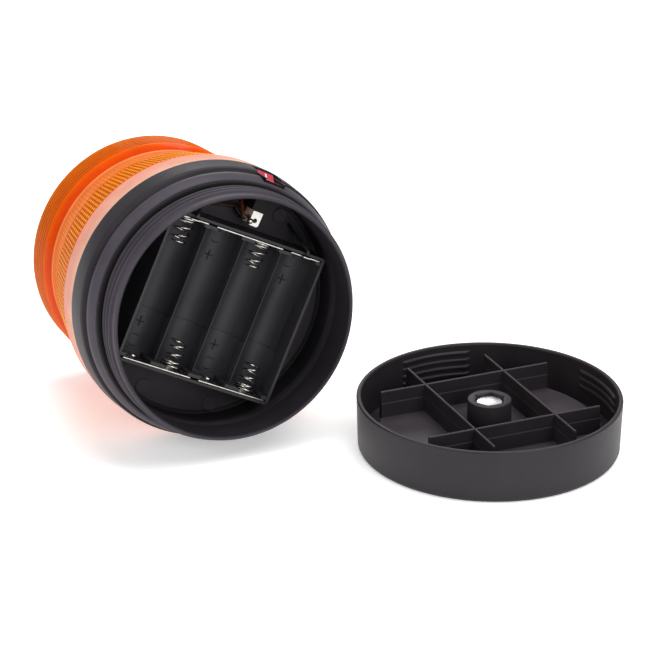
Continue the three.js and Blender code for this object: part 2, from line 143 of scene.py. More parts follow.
def lathe(profile, seg=192, closed=True):
    verts, faces, uvs = [], [], []
    n = len(profile)
    for i in range(seg):
        a = 2 * math.pi * i / seg
        for r, z in profile:
            verts.append((r * math.cos(a), r * math.sin(a), z))
            uvs.append((i / seg, z))
    for i in range(seg):
        j = (i + 1) % seg
        for k in range(n if closed else n - 1):
            k2 = (k + 1) % n
            if profile[k][0] < 1e-6 and profile[k2][0] < 1e-6:
                continue
            f = (i * n + k, j * n + k, j * n + k2, i * n + k2)
            faces.append(f)
    return verts, faces, uvs


def turned(name, pts, M, body, mat, seg=192, closed=True, **kw):
    prof = arc_points(pts) if closed else [(p[0], p[1]) for p in pts]
    v, f, u = lathe(prof, seg, closed)
    return make(name, v, f, M, body, mat, uvs=u, **kw)


def boxmesh(x0, x1, y0, y1, z0, z1):
    v = [(x, y, z) for x in (x0, x1) for y in (y0, y1) for z in (z0, z1)]
    f = [(0, 1, 3, 2), (4, 6, 7, 5), (0, 4, 5, 1), (2, 3, 7, 6), (0, 2, 6, 4), (1, 5, 7, 3)]
    return v, f


def prism(points, z0, z1):
    """Closed prism over 2-D points, from z0 to z1."""
    n = len(points)
    v = [(x, y, z0) for x, y in points] + [(x, y, z1) for x, y in points]
    f = [tuple(reversed(range(n))), tuple(range(n, 2 * n))]
    f += [(i, (i + 1) % n, n + (i + 1) % n, n + i) for i in range(n)]
    return v, f


def join(*parts):
    v, f = [], []
    for pv, pf in parts:
        k = len(v)
        v += list(pv)
        f += [tuple(i + k for i in face) for face in pf]
    return v, f


def moved(part, M):
    v, f = part
    return [tuple(M @ Vector(p)) for p in v], f


def tube(path, radius, n=12, caps=True, squash_z=None):
    """Round bar along a list of points."""
    pts = [Vector(p) for p in path]
    v, f = [], []
    t0 = (pts[1] - pts[0]).normalized()
    ref = Vector((0, 0, 1)) if abs(t0.z) < 0.9 else Vector((1, 0, 0))
    nrm = t0.cross(ref).normalized()
    for i, p in enumerate(pts):
        t = (pts[min(i + 1, len(pts) - 1)] - pts[max(i - 1, 0)]).normalized()
        nrm = (nrm - t * nrm.dot(t)).normalized()
        b = t.cross(nrm)
        rr = radius(i / (len(pts) - 1)) if callable(radius) else radius
        for k in range(n):
            a = 2 * math.pi * k / n
            v.append(tuple(p + (nrm * math.cos(a) + b * math.sin(a)) * rr))
    for i in range(len(pts) - 1):
        for k in range(n):
            k2 = (k + 1) % n
            f.append((i * n + k, i * n + k2, (i + 1) * n + k2, (i + 1) * n + k))
    if caps:
        f.append(tuple(reversed(range(n))))
        f.append(tuple(range((len(pts) - 1) * n, len(pts) * n)))
    return v, f


def smooth_path(points, per=14):
    """Centripetal-like Catmull-Rom through the points."""
    P = [Vector(p) for p in points]
    P = [P[0] * 2 - P[1]] + P + [P[-1] * 2 - P[-2]]
    out = []
    for i in range(1, len(P) - 2):
        for k in range(per):
            t = k / per
            a, b, c, d = P[i - 1], P[i], P[i + 1], P[i + 2]
            out.append(0.5 * ((2 * b) + (c - a) * t + (2 * a - 5 * b + 4 * c - d) * t * t + (-a + 3 * b - 3 * c + d) * t ** 3))
    out.append(P[-2])
    return out


def disc(r, n=32, x=0.0, y=0.0):
    return [(x + r * math.cos(2 * math.pi * i / n), y + r * math.sin(2 * math.pi * i / n)) for i in range(n)]


def cutter(name, part, M):
    v, f = part
    o = make(name, v, f, M, None, MATS["plastic_black"])
    o.hide_render = True
    o.hide_viewport = True
    return o


def carve(o, c):
    m = o.modifiers.new("cut", "BOOLEAN")
    m.operation = "DIFFERENCE"
    m.solver = "EXACT"
    m.object = c
    return m


def bake(o, *cutters):
    """Applies the modifiers for good, then removes the cutters."""
    dg = bpy.context.evaluated_depsgraph_get()
    hidden = [(c, c.hide_viewport) for c in cutters]
    for c in cutters:
        c.hide_viewport = False
    bpy.context.view_layer.update()
    dg = bpy.context.evaluated_depsgraph_get()
    me = bpy.data.meshes.new_from_object(o.evaluated_get(dg), depsgraph=dg)
    old = o.data
    o.modifiers.clear()
    o.data = me
    me.name = old.name + "_cut"
    for c, _ in hidden:
        bpy.data.objects.remove(c)
    bm = bmesh.new()
    bm.from_mesh(me)
    for e in bm.edges:
        e.smooth = not (len(e.link_faces) != 2 or e.calc_face_angle(0.0) > R(32))
    for f in bm.faces:
        f.smooth = True
    bm.to_mesh(me)
    bm.free()
    return o


# ----------------------------------------------------------------- materials
def new_mat(name):
    m = bpy.data.materials.new(name)
    m.use_nodes = True
    nt = m.node_tree
    nt.nodes.clear()
    out = nt.nodes.new("ShaderNodeOutputMaterial")
    p = nt.nodes.new("ShaderNodeBsdfPrincipled")
    nt.links.new(p.outputs["BSDF"], out.inputs["Surface"])
    return m, nt, p, out


def coords(nt, scale=(1, 1, 1), kind="Object"):
    tc = nt.nodes.new("ShaderNodeTexCoord")
    mp = nt.nodes.new("ShaderNodeMapping")
    mp.inputs["Scale"].default_value = scale
    nt.links.new(tc.outputs[kind], mp.inputs["Vector"])
    return mp.outputs["Vector"]


def noise(nt, vec, scale, detail=4, rough=0.55):
    n = nt.nodes.new("ShaderNodeTexNoise")
    n.inputs["Scale"].default_value = scale
    n.inputs["Detail"].default_value = detail
    n.inputs["Roughness"].default_value = rough
    nt.links.new(vec, n.inputs["Vector"])
    return n.outputs["Fac"]


def ramp(nt, fac, stops, interp="LINEAR"):
    r = nt.nodes.new("ShaderNodeValToRGB")
    r.color_ramp.interpolation = interp
    els = r.color_ramp.elements
    while len(els) > 1:
        els.remove(els[-1])
    els[0].position = stops[0][0]
    els[0].color = (*stops[0][1], 1) if len(stops[0][1]) == 3 else stops[0][1]
    for pos, col in stops[1:]:
        e = els.new(pos)
        e.color = (*col, 1) if len(col) == 3 else col
    nt.links.new(fac, r.inputs["Fac"])
    return r.outputs["Color"]


def remap(nt, fac, lo, hi, a=0.0, b=1.0):
    m = nt.nodes.new("ShaderNodeMapRange")
    m.inputs["From Min"].default_value = a
    m.inputs["From Max"].default_value = b
    m.inputs["To Min"].default_value = lo
    m.inputs["To Max"].default_value = hi
    nt.links.new(fac, m.inputs["Value"])
    return m.outputs["Result"]


def bump(nt, height, strength, dist, p, prev=None):
    b = nt.nodes.new("ShaderNodeBump")
    b.inputs["Strength"].default_value = strength
    b.inputs["Distance"].default_value = dist
    nt.links.new(height, b.inputs["Height"])
    if prev is not None:
        nt.links.new(prev, b.inputs["Normal"])
    nt.links.new(b.outputs["Normal"], p.inputs["Normal"])
    return b.outputs["Normal"]


def plastic(name, a, b, rough=(0.32, 0.42), grain=2600, grain_d=0.00002, strength=0.25, ior=1.5, large=60, coat=0.0, spec=0.5):
    m, nt, p, _ = new_mat(name)
    vec = coords(nt)
    big = noise(nt, vec, large, 3)
    col = ramp(nt, big, [(0.3, a), (0.7, b)])
    nt.links.new(col, p.inputs["Base Color"])
    nt.links.new(remap(nt, big, *rough, 0.3, 0.7), p.inputs["Roughness"])
    p.inputs["IOR"].default_value = ior
    p.inputs["Coat Weight"].default_value = coat
    p.inputs["Specular IOR Level"].default_value = spec
    bump(nt, noise(nt, vec, grain, 2), strength, grain_d, p)
    return m


def metal(name, a, b, rough=(0.18, 0.3), streak=(900, 900, 900), scale=1.0, strength=0.1):
    m, nt, p, _ = new_mat(name)
    vec = coords(nt, streak)
    n = noise(nt, vec, scale, 3)
    nt.links.new(ramp(nt, n, [(0.3, a), (0.7, b)]), p.inputs["Base Color"])
    nt.links.new(remap(nt, n, *rough, 0.3, 0.7), p.inputs["Roughness"])
    p.inputs["Metallic"].default_value = 1.0
    bump(nt, n, strength, 0.00001, p)
    return m


def calc(nt, op, *args):
    m = nt.nodes.new("ShaderNodeMath")
    m.operation = op
    for i, x in enumerate(args):
        if isinstance(x, (int, float)):
            m.inputs[i].default_value = x
        else:
            nt.links.new(x, m.inputs[i])
    return m.outputs[0]


def dot(nt, vec, direction):
    d = nt.nodes.new("ShaderNodeVectorMath")
    d.operation = "DOT_PRODUCT"
    nt.links.new(vec, d.inputs[0])
    d.inputs[1].default_value = direction
    return d.outputs["Value"]


def mix(nt, fac, a, b, kind="MIX"):
    m = nt.nodes.new("ShaderNodeMix")
    m.data_type = "RGBA"
    m.blend_type = kind
    for sock, x in (("Factor", fac), ("A", a), ("B", b)):
        if isinstance(x, (int, float)):
            m.inputs[sock].default_value = x
        elif isinstance(x, tuple):
            m.inputs[6 if sock == "A" else 7].default_value = (*x, 1)
        else:
            nt.links.new(x, m.inputs[0] if sock == "Factor" else m.inputs[6 if sock == "A" else 7])
    return m.outputs[2]


def lens_material():
    """Amber polycarbonate. Its zones go along the beacon's axis."""
    m, nt, p, out = new_mat("lens_amber_material")
    vec = coords(nt)
    off = nt.nodes.new("ShaderNodeVectorMath")
    off.operation = "SUBTRACT"
    nt.links.new(vec, off.inputs[0])
    off.inputs[1].default_value = (-94.5 * MM, -9.7 * MM, MZ * MM)
    s = calc(nt, "MULTIPLY", dot(nt, off.outputs[0], AX), 1000.0)
    x, y = dot(nt, off.outputs[0], UX), dot(nt, off.outputs[0], WX)
    ang = calc(nt, "ARCTAN2", y, x)
    rad = calc(nt, "MULTIPLY", calc(nt, "SQRT", calc(nt, "ADD", calc(nt, "MULTIPLY", x, x), calc(nt, "MULTIPLY", y, y))), 1000.0)
    t = remap(nt, s, 0.0, 1.0, -104.0, -32.0)     # 0 far end, 1 at the housing
    n = noise(nt, vec, 130, 3)

    def at(q):
        return (q + 104.0) / 72.0
    # colour zones along the axis: the pale-pink line at s -80.6 to -79.6 is a painted highlight on the shoulder edge,
    # the peach of the mid zone is painted reflection, and the pale pink of the flange is partly the thin plastic's own
    # paler tone and partly painted sheen
    col = ramp(nt, t, [
        (0.0, (0.66, 0.19, 0.008)), (at(-100.5), (0.62, 0.15, 0.006)), (at(-99.0), (0.76, 0.165, 0.003)), (at(-88.0), (0.76, 0.125, 0.002)),
        (at(-87.3), (0.60, 0.075, 0.002)), (at(-86.6), (0.90, 0.150, 0.003)), (at(-84.0), (0.84, 0.085, 0.002)), (at(-81.2), (0.80, 0.065, 0.001)),
        (at(-80.6), (0.96, 0.32, 0.13)), (at(-79.6), (0.95, 0.30, 0.13)), (at(-78.4), (0.90, 0.20, 0.045)), (at(-70.0), (0.92, 0.215, 0.045)),
        (at(-64.8), (0.88, 0.17, 0.022)), (at(-63.9), (0.72, 0.065, 0.001)), (at(-63.0), (0.86, 0.15, 0.004)), (at(-50.0), (0.90, 0.17, 0.003)),
        (at(-44.4), (0.92, 0.20, 0.008)), (at(-43.6), (0.93, 0.33, 0.24)), (at(-42.6), (0.90, 0.42, 0.37)), (at(-37.0), (0.90, 0.47, 0.43)), (1.0, (0.88, 0.56, 0.52))])
    # rows and columns of small prisms; the peach dots laid on them in the mid zone are painted reflection
    cu = calc(nt, "MULTIPLY_ADD", calc(nt, "COSINE", calc(nt, "MULTIPLY", ang, 180.0)), 0.5, 0.5)
    cv = calc(nt, "MULTIPLY_ADD", calc(nt, "COSINE", calc(nt, "MULTIPLY", s, 2 * math.pi / 3.3)), 0.5, 0.5)
    dots = remap(nt, calc(nt, "MULTIPLY", cu, cv), 0.0, 1.0, 0.12, 0.62)
    near = ramp(nt, t, [(0.0, (0,) * 3), (at(-63.6), (0,) * 3), (at(-63.0), (1,) * 3), (at(-44.6), (1,) * 3), (at(-43.9), (0,) * 3)])
    far = ramp(nt, t, [(0.0, (0,) * 3), (at(-78.4), (0,) * 3), (at(-77.4), (0.45,) * 3), (at(-64.6), (0.55,) * 3), (at(-64.0), (0,) * 3)])
    col = mix(nt, calc(nt, "MULTIPLY", near, calc(nt, "SUBTRACT", 1.0, dots)), col, (0.66, 0.075, 0.001))
    col = mix(nt, calc(nt, "MULTIPLY", near, dots), col, (1.0, 0.52, 0.012))
    col = mix(nt, calc(nt, "MULTIPLY", far, dots), col, (0.98, 0.42, 0.10))
    # fine dark rings at the far side
    rings = remap(nt, calc(nt, "COSINE", calc(nt, "MULTIPLY", s, 2 * math.pi / 2.5)), 0.0, 1.0, 0.10, 1.0)
    tier = ramp(nt, t, [(0.0, (0,) * 3), (at(-100.2), (0,) * 3), (at(-99.6), (0.55,) * 3), (at(-87.9), (0.75,) * 3), (at(-87.2), (0,) * 3)])
    col = mix(nt, calc(nt, "MULTIPLY", tier, rings), col, (0.26, 0.035, 0.001))
    col = mix(nt, 1.0, col, ramp(nt, n, [(0.3, (0.66, 0.58, 0.46)), (0.7, (0.76, 0.68, 0.56))]), "MULTIPLY")
    nt.links.new(col, p.inputs["Base Color"])
    # painted glow: the lens gives off a faint light of its own colour, though nothing lights it from inside
    nt.links.new(col, p.inputs["Emission Color"])
    p.inputs["Emission Strength"].default_value = 0.03
    nt.links.new(remap(nt, n, 0.10, 0.17, 0.3, 0.7), p.inputs["Roughness"])
    p.inputs["IOR"].default_value = 1.5
    p.inputs["Specular IOR Level"].default_value = 0.0
    p.inputs["Coat Weight"].default_value = 0.12
    p.inputs["Coat Roughness"].default_value = 0.06
    p.inputs["Transmission Weight"].default_value = 0.04
    p.inputs["Subsurface Weight"].default_value = 0.25
    p.inputs["Subsurface Radius"].default_value = (1.0, 0.35, 0.08)
    p.inputs["Subsurface Scale"].default_value = 0.003
    bump(nt, noise(nt, vec, 700, 2), 0.10, 0.00003, p)
    return m


MATS = {
    "plastic_black": plastic("housing_plastic", (0.085, 0.074, 0.088), (0.112, 0.100, 0.119), (0.38, 0.46), spec=0.12),
    # holder marks: near-black painted shade that stands in for the shading of engraved lines
    "painted_shade_mark": plastic("trough_mark_painted_shade", (0.007, 0.006, 0.007), (0.010, 0.009, 0.010), (0.5, 0.6), grain=3800, strength=0.1, spec=0.15),
    "tray_black": plastic("holder_plastic", (0.023, 0.021, 0.025), (0.031, 0.029, 0.034), (0.36, 0.46), grain=3800, strength=0.15, spec=0.27),
    "cover": plastic("cover_plastic", (0.030, 0.0247, 0.029), (0.0388, 0.0326, 0.0388), (0.42, 0.50), grain=4200, strength=0.3, spec=0.24),
    "rubber": plastic("seal_rubber_material", (0.004, 0.004, 0.004), (0.008, 0.007, 0.008), (0.75, 0.9), grain=1500, strength=0.4, ior=1.35),
    "switch_black": plastic("switch_nylon", (0.004, 0.004, 0.005), (0.007, 0.0065, 0.008), (0.40, 0.50), grain=3000, strength=0.1, spec=0.14),
    "rocker": plastic("rocker_red_plastic", (0.46, 0.018, 0.045), (0.58, 0.030, 0.065), (0.20, 0.28), grain=2000, strength=0.05, coat=0.3),
    "mark": plastic("rocker_mark_white", (0.86, 0.72, 0.72), (0.94, 0.84, 0.83), (0.3, 0.4), grain=2000, strength=0.05),
    "nickel": metal("nickel_plate", (0.36, 0.35, 0.33), (0.66, 0.64, 0.60), (0.16, 0.28), (500, 500, 500)),
    "tinned": metal("terminal_tin_plate", (0.50, 0.48, 0.45), (0.64, 0.62, 0.58), (0.22, 0.34), (450, 450, 450)),
    # rear terminal blade: the same tin plate, painted dark as shade
    "rear_tin_painted_shade": metal("terminal_tin_painted_shade", (0.075, 0.055, 0.040), (0.15, 0.11, 0.085), (0.30, 0.42), (450, 450, 450)),
    "spring": metal("spring_nickel", (0.34, 0.33, 0.31), (0.62, 0.60, 0.56), (0.10, 0.18), (700, 700, 700)),
    "bolt": metal("bolt_zinc", (0.90, 0.91, 0.92), (0.97, 0.97, 0.98), (0.22, 0.34), (300, 300, 300)),
    "cup": metal("magnet_cup_steel", (0.60, 0.61, 0.62), (0.72, 0.73, 0.74), (0.25, 0.38), (250, 250, 250)),
    "ferrite": plastic("ferrite_dark", (0.030, 0.030, 0.032), (0.055, 0.054, 0.056), (0.5, 0.7), grain=1400, strength=0.5),
    "lead_red": plastic("lead_redbrown_pvc", (0.050, 0.008, 0.003), (0.075, 0.012, 0.004), (0.35, 0.45), grain=1800, strength=0.1),
    "lead_brown": plastic("lead_brown_pvc", (0.030, 0.010, 0.006), (0.042, 0.014, 0.008), (0.35, 0.45), grain=1800, strength=0.1),
    "lead_black": plastic("lead_black_pvc", (0.008, 0.008, 0.008), (0.014, 0.013, 0.014), (0.35, 0.45), grain=1800, strength=0.1),
    "board": plastic("board_green_resist", (0.020, 0.12, 0.045), (0.035, 0.17, 0.065), (0.22, 0.32), grain=900, strength=0.2),
    "screw": metal("board_screw_steel", (0.62, 0.62, 0.60), (0.74, 0.73, 0.70), (0.25, 0.35), (600, 600, 600)),
    "led": plastic("led_epoxy", (0.85, 0.38, 0.04), (0.95, 0.48, 0.07), (0.08, 0.14), grain=900, strength=0.03, coat=0.5),
    "chip": plastic("chip_epoxy", (0.012, 0.012, 0.013), (0.025, 0.024, 0.025), (0.45, 0.6), grain=3000, strength=0.4),
    "cap_blue": plastic("capacitor_sleeve_blue", (0.020, 0.055, 0.20), (0.03, 0.075, 0.26), (0.2, 0.3), grain=900, strength=0.05),
    "floor": plastic("floor_white", (0.93, 0.93, 0.93), (0.95, 0.95, 0.95), (0.75, 0.85), grain=300, strength=0.02, large=3),
}
MATS["lens"] = lens_material()


def housing_painted_light_zones(m):
    """Painted light and shade on the housing: the second band and neck are painted paler as sheen, the groove and outer
    band darker, and the bore wall dark as shade.
    """
    nt = m.node_tree
    p = next(n for n in nt.nodes if n.type == "BSDF_PRINCIPLED")
    base = p.inputs["Base Color"].links[0].from_socket
    off = nt.nodes.new("ShaderNodeVectorMath")
    off.operation = "SUBTRACT"
    nt.links.new(coords(nt), off.inputs[0])
    off.inputs[1].default_value = (-94.5 * MM, -9.7 * MM, MZ * MM)
    s = calc(nt, "MULTIPLY", dot(nt, off.outputs[0], AX), 1000.0)
    x, y = dot(nt, off.outputs[0], UX), dot(nt, off.outputs[0], WX)
    rad = calc(nt, "MULTIPLY", calc(nt, "SQRT", calc(nt, "ADD", calc(nt, "MULTIPLY", x, x), calc(nt, "MULTIPLY", y, y))), 1000.0)

    def at(q):
        return (q + 34.0) / 36.0
    # painted light along the axis: second band and neck paler as sheen, groove and outer band darker
    along = ramp(nt, remap(nt, s, 0.0, 1.0, -34.0, 2.0), [(0.0, (0.42,) * 3), (at(-21.8), (0.42,) * 3), (at(-20.4), (0.62, 0.60, 0.64)), (at(-20.0), (0.94, 0.90, 0.96)), (at(-14.7), (0.94, 0.90, 0.96)), (at(-14.2), (0.78, 0.76, 0.80)), (1.0, (0.86, 0.84, 0.88))])
    # painted shade across the radius: bore wall dark, outer surfaces darker, partition inside left at full tone
    across = ramp(nt, remap(nt, rad, 0.0, 1.0, 40.0, 50.0), [(0.0, (1.0,) * 3), (0.40, (1.0,) * 3), (0.46, (0.24,) * 3), (0.57, (0.24,) * 3), (0.63, (0.588,) * 3)])
    both = mix(nt, 1.0, along, across, "MULTIPLY")
    nt.links.new(mix(nt, 1.0, base, both, "MULTIPLY"), p.inputs["Base Color"])


housing_painted_light_zones(MATS["plastic_black"])


def cover_disc_painted_sheen(m):
    """Painted sheen: the base cover's raised disc keeps the full tone and the rest of the cover is painted darker, in
    place of a soft highlight on the disc.
    """
    nt = m.node_tree
    p = next(n for n in nt.nodes if n.type == "BSDF_PRINCIPLED")
    base = p.inputs["Base Color"].links[0].from_socket
    vec = coords(nt)
    x, y, z = dot(nt, vec, (1, 0, 0)), dot(nt, vec, (0, 1, 0)), dot(nt, vec, (0, 0, 1))
    rad = calc(nt, "MULTIPLY", calc(nt, "SQRT", calc(nt, "ADD", calc(nt, "MULTIPLY", x, x), calc(nt, "MULTIPLY", y, y))), 1000.0)
    high = ramp(nt, remap(nt, calc(nt, "MULTIPLY", z, 1000.0), 0.0, 1.0, 7.4, 9.4), [(0.0, (0,) * 3), (0.3, (0,) * 3), (0.4, (1,) * 3), (0.6, (1,) * 3), (0.7, (0,) * 3)])
    near = ramp(nt, remap(nt, rad, 0.0, 1.0, 31.0, 51.0), [(0.0, (1,) * 3), (0.50, (1,) * 3), (0.53, (0,) * 3)])
    mask = calc(nt, "MULTIPLY", high, near)
    low = mix(nt, 1.0, base, ramp(nt, noise(nt, vec, 90, 2), [(0.3, (0.55, 0.55, 0.55)), (0.7, (0.59, 0.59, 0.59))]), "MULTIPLY")
    nt.links.new(mix(nt, mask, low, base), p.inputs["Base Color"])


cover_disc_painted_sheen(MATS["cover"])
floor_p = [q for q in MATS["floor"].node_tree.nodes if q.type == "BSDF_PRINCIPLED"][0]
floor_p.inputs["Emission Color"].default_value = (1.0, 1.0, 1.0, 1.0)
floor_p.inputs["Emission Strength"].default_value = 0.34

# ------------------------------------------------------------------- housing
NECK_R, BORE = 46.9, 45.4
outer = [
    (BORE, -0.0, 0.35), (NECK_R, 0.0, 0.45), (NECK_R, -14.5, 0.25), (49.25, -14.5, 0.45),
    (50.3, -16.6, 3.0), (50.85, -18.0, 3.0), (51.05, -19.75, 0.45), (50.25, -20.3, 0.3), (50.25, -21.35, 0.3),
    (51.95, -21.9, 0.45), (52.3, -23.2, 1.0), (52.75, -32.0, 0.2), (46.2, -32.0, 0.1), (0.0, -32.0), (0.0, -29.55),
    (43.2, -29.55, 0.12), (43.2, -29.7, 0.05), (46.0, -29.7, 0.5), (46.0, -15.0, 0.6), (BORE, -13.8, 0.6)]
shell = turned("housing_shell", outer, BEACON, "beacon", MATS["plastic_black"], seg=256, stands_for="housing", slot="housing_black")
c1 = cutter("tmp_sw", boxmesh(37.5, 55.5, -4.4, 4.4, SW_S - 6.7, SW_S + 6.7), SWITCH)
c2 = cutter("tmp_seat", boxmesh(50.6, 56.6, -5.3, 5.3, SW_S - 7.2, SW_S + 7.2), SWITCH)
a1, a2 = R(62.0 + 9), R(34.9)
for c in (c1, c2):
    carve(shell, c)
bake(shell, c1, c2)

# helical thread on the neck: rounded ridge that dies away at both ends
tv, tf = [], []
N, K = 760, 8
turns, lead = 3.6, 3.0
sec = [(-0.15, -0.85), (0.30, -0.60), (0.84, -0.36), (0.92, -0.26), (0.92, 0.26), (0.84, 0.36), (0.30, 0.60), (-0.15, 0.85)]
for i in range(N + 1):
    t = i / N
    a = 2 * math.pi * turns * t - 1.904
    k = min(1.0, min(t, 1 - t) * 14)
    k = k * k * (3 - 2 * k)
    z = -12.6 + lead * turns * t
    for dr, dz in sec:
        r = NECK_R + (dr * k if dr > 0 else dr)
        tv.append((r * math.cos(a), r * math.sin(a), z + dz * (0.4 + 0.6 * k)))
for i in range(N):
    for j in range(K):
        j2 = (j + 1) % K
        tf.append((i * K + j, i * K + j2, (i + 1) * K + j2, (i + 1) * K + j))
tf += [tuple(reversed(range(K))), tuple(range(N * K, N * K + K))]
make("housing_thread", tv, tf, BEACON, "beacon", MATS["plastic_black"], slot="housing_black", crease=50)

# round moulded boss tops on the partition, and a faint ring round each
for i, (x, y) in enumerate(((15.1, 38.2), (-11.5, -39.5), (17.1, -38.7))):
    pts = [(0, -29.6), (0, -29.25), (2.35, -29.25, 0.1), (2.5, -29.2, 0.1), (2.7, -29.2, 0.1), (2.95, -29.3, 0.25), (3.0, -29.6)]
    pv, pf, pu = lathe(arc_points(pts), 40)
    make(f"partition_boss_{i + 1}", pv, pf, TRAY @ Matrix.Translation((x, y, 0)), "beacon", MATS["plastic_black"], uvs=pu, slot="housing_black")

# mould parting mark on the second band
pv, pf = boxmesh(50.2, 51.35, -0.16, 0.16, -24.2, -19.9)
make("housing_parting_mark", pv, pf, BEACON @ Matrix.Rotation(R(154.9), 4, "Z"), "beacon", MATS["plastic_black"], bevel=0.15, slot="housing_black")

turned("neck_seal", [(47.15, -14.42), (48.5, -14.42), (48.85, -13.9, 0.3), (48.5, -13.38, 0.35), (47.15, -13.38, 0.2)], BEACON, "beacon", MATS["rubber"], seg=192, stands_for="neck_seal_ring", slot="seal_rubber")

# ---------------------------------------------------------------------- lens
PROF = [(-100.0, 46.6), (-88.6, 47.0), (-86.4, 46.75), (-83.2, 45.9), (-81.0, 45.15), (-80.0, 45.0), (-78.4, 45.3), (-63.5, 48.3), (-46.0, 51.7), (-43.4, 52.1), (-34.4, 52.4), (-32.6, 52.45), (-32.35, 52.25)]


def lens_line(s):
    for (s0, r0), (s1, r1) in zip(PROF, PROF[1:]):
        if s0 <= s <= s1:
            return r0 + (r1 - r0) * (s - s0) / (s1 - s0)
    return PROF[-1][1] if s > PROF[-1][0] else PROF[0][1]


def lens_r(s):
    if -97 < s < -45:
        return min(lens_line(s), sum(lens_line(s + k * 0.3) for k in range(-3, 4)) / 7)
    return lens_line(s)


def tri(x):
    x = x % 1.0
    return 1 - abs(2 * x - 1)


def bumpy(x):
    return 0.5 - 0.5 * math.cos(2 * math.pi * x)


NT = 1080
rows = []      # (s, r of the row, kind)
# far end: gently domed, with concentric rings
rr = 0.0
for q in range(0, 60):
    r = 44.6 * q / 59
    s = -103.4 + 2.3 * (r / 44.6) ** 2.1
    if 4 < r < 42:
        s += 0.32 * tri(r / 1.6)
    rows.append((s, max(r, 0.001), "end"))
for a in range(0, 9):
    t = a / 8 * math.pi / 2
    rows.append((-101.0 + 1.0 * (1 - math.cos(t)), 45.0 + 1.6 * math.sin(t), "rim"))
s = -99.75
while s < -87.4:
    rows.append((s, None, "upper"))
    s += 0.25
s = -87.2
while s < -78.3:
    rows.append((s, None, "waist"))
    s += 0.3
s = -78.2
while s < -64.0:
    rows.append((s, None, "mid"))
    s += 0.32
for s in (-63.9, -63.7, -63.5, -63.3, -63.1):
    rows.append((s, None, "line"))
s = -62.9
while s < -43.8:
    rows.append((s, None, "prism"))
    s += 0.275
for s in (-43.6, -43.4, -43.1, -42.0, -39.5, -37.0, -34.4, -33.2, -32.6, -32.42, -32.35):
    rows.append((s, None, "flange"))
lv, lf, lu = [], [], []
for s, r0, kind in rows:
    base = lens_r(s) if r0 is None else r0
    for i in range(NT):
        th = i / NT
        d = 0.0
        if kind == "upper":
            e = min(1.0, (s + 100.0) / 0.8, (-87.2 - s) / 0.6)
            d = -e * (0.24 * bumpy(s / 2.5 + 0.5) + 0.02 * (1 - bumpy(th * 216)))
        elif kind == "mid":
            e = min(1.0, (s + 78.3) / 1.0, (-63.9 - s) / 0.5)
            d = -e * 0.07 * (1 - bumpy(s / 3.3 + 0.5) * bumpy(th * 180 + 0.5))
        elif kind == "line":
            d = -0.16
        elif kind == "prism":
            e = min(1.0, (s + 63.1) / 0.5, (-43.6 - s) / 0.5)
            d = -e * (0.17 * (1 - bumpy(s / 3.3 + 0.5)) + 0.15 * (1 - bumpy(th * 180 + 0.5)))
        r = base + d
        a = 2 * math.pi * th
        lv.append((r * math.cos(a), r * math.sin(a), s))
        lu.append((th, s))
for k in range(len(rows) - 1):
    for i in range(NT):
        j = (i + 1) % NT
        lf.append((k * NT + i, k * NT + j, (k + 1) * NT + j, (k + 1) * NT + i))
# front edge and inside skin share the outer ring's count so that the shell closes
inner = [(50.4, -32.35), (50.3, -35.0), (49.6, -44.4), (46.1, -63.5), (43.2, -78.6), (42.9, -80.3), (43.4, -83.4), (44.4, -87.2), (44.6, -89.0), (44.0, -98.4), (42.0, -98.9), (28, -100.1), (14, -100.75), (0.001, -101.0)]
base_k = len(rows)
for r, s in inner:
    for i in range(NT):
        a = 2 * math.pi * i / NT
        lv.append((r * math.cos(a), r * math.sin(a), s))
        lu.append((i / NT, s))
for k in range(base_k - 1, base_k + len(inner) - 1):
    for i in range(NT):
        j = (i + 1) % NT
        lf.append((k * NT + i, k * NT + j, (k + 1) * NT + j, (k + 1) * NT + i))
make("lens_shell", lv, lf, BEACON, "beacon", MATS["lens"], uvs=lu, stands_for="lens", slot="lens_amber", crease=40)

# ------------------------------------------------------------ battery holder
CELL_S, PITCH = -20.6, 16.0
TOP, LOW, DIV = -14.2, -29.4, -18.0


def trough(y0, y1, rad):
    """The floor and dividers between y0 and y1, with troughs of that radius."""
    top = []
    for i in range(4):
        cx = (i - 1.5) * PITCH
        edge = rad * math.cos(math.asin(max(-1, min(1, 0.0))))
        left = [(cx - PITCH / 2 + 0.13, DIV)] if i else [(cx - edge, DIV)]
        arc = [(cx + rad * math.cos(a), CELL_S + rad * math.sin(a)) for a in [math.pi + math.pi * k / 28 for k in range(29)]]
        right = [(cx + PITCH / 2 - 0.13, DIV)] if i < 3 else [(cx + edge, DIV)]
        top += left + arc + right
    outline = [(-31.9, LOW), (-31.9, DIV)] + top + [(31.9, DIV), (31.9, LOW)]
    n = len(outline)
    v = [(x, y0, z) for x, z in outline] + [(x, y1, z) for x, z in outline]
    f = [(i, (i + 1) % n, n + (i + 1) % n, n + i) for i in range(n)]
    # end caps as vertical strips down to the underside
    for off in (0, n):
        for i in range(1, n - 2):
            pass
    bottom_ids = []
    for x, z in outline:
        v.append((x, y0, LOW))
        v.append((x, y1, LOW))
    b0 = 2 * n
    for i in range(1, n - 2):
        f.append((i, i + 1, b0 + 2 * (i + 1), b0 + 2 * i))
        f.append((n + i, n + i + 1, b0 + 2 * (i + 1) + 1, b0 + 2 * i + 1))
    return v, f


parts = [trough(-10.3, 8.9, 7.68)]
make("holder_troughs_middle", *parts[0], TRAY, "beacon", MATS["tray_black"], stands_for="battery_holder", slot="holder_black", crease=24)
make("holder_troughs_ends", *join(trough(8.9, 26.8, 7.26), trough(-26.8, -10.3, 7.26)), TRAY, "beacon", MATS["tray_black"], slot="holder_black", crease=24)
